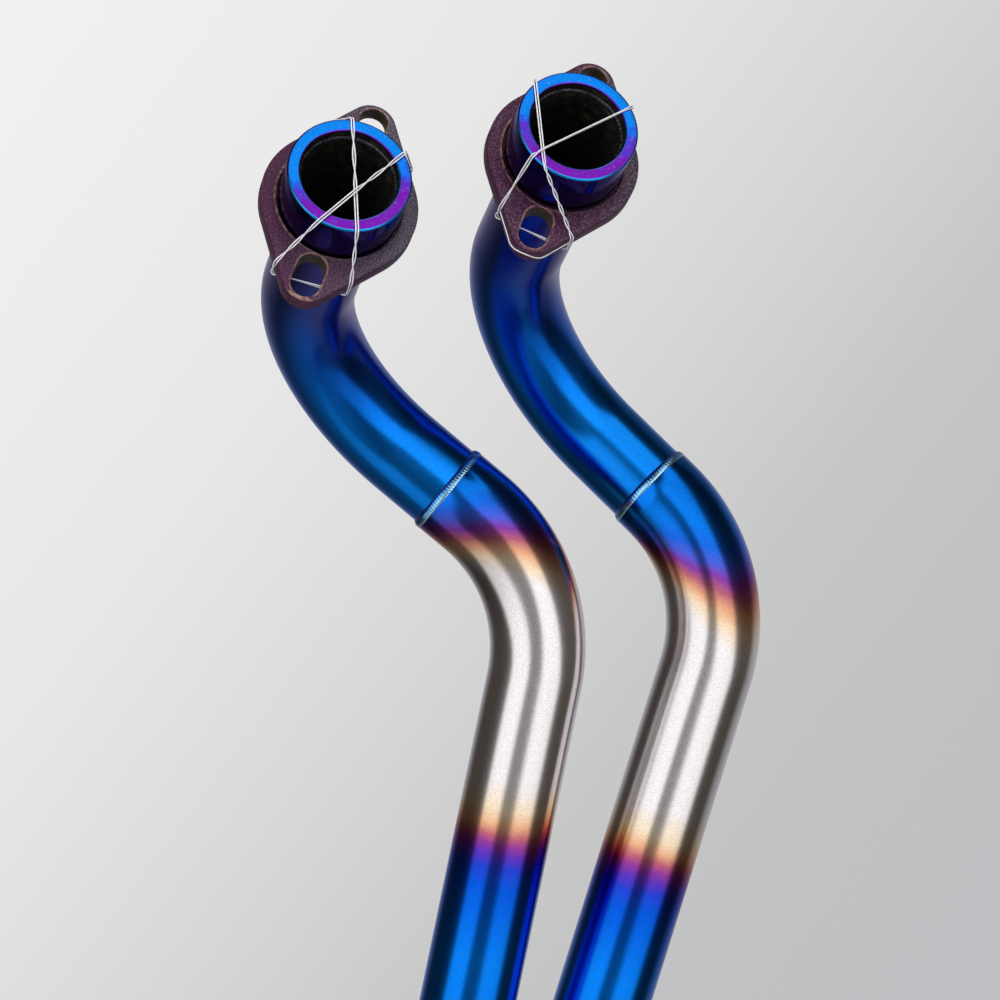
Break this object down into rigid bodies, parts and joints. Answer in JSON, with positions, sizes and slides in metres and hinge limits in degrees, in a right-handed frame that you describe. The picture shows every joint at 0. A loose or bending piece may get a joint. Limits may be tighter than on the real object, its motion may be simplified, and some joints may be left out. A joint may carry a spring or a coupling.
{
  "type": "exhaust header pipe",
  "caption": "Two-into-one exhaust header for a parallel-twin motorcycle: mouth rings, loose slotted flanges, double-bend runners and a merge collector with a slip-on outlet",
  "frame": {"origin": "centre of the front face of flange A, on the axis of port A", "axes": "+Y along both port axes, away from the cylinder head; +Z along the line through flange A's two stud slots, away from the runners; +X completes the right-handed frame, towards port B"},
  "size_m": [0.301, 0.4148, 0.5772],
  "materials": {
    "ring": "heat-tinted, bright",
    "flange": "oxidised, matt",
    "upper_tube": "heat-tinted, satin",
    "lower_tube": "heat-tinted from blue through gold to bare, satin",
    "weld": "heat-tinted weld bead",
    "cord": "clear twisted cord"
  },
  "bodies": {
    "root": {"ring_a": "ring", "mouth_weld_a": "weld", "flange_a": "flange", "upper_pipe_a": "upper_tube", "lap_weld_a": "weld", "lower_pipe_a": "lower_tube", "tie_a": "cord", "ring_b": "ring", "mouth_weld_b": "weld", "flange_b": "flange", "upper_pipe_b": "upper_tube", "lap_weld_b": "weld", "lower_pipe_b": "lower_tube", "tie_b": "cord", "collector": "lower_tube", "collector_weld_a": "weld", "collector_weld_b": "weld", "outlet_tube": "lower_tube", "outlet_weld": "weld"}
  },
  "joints": []
}
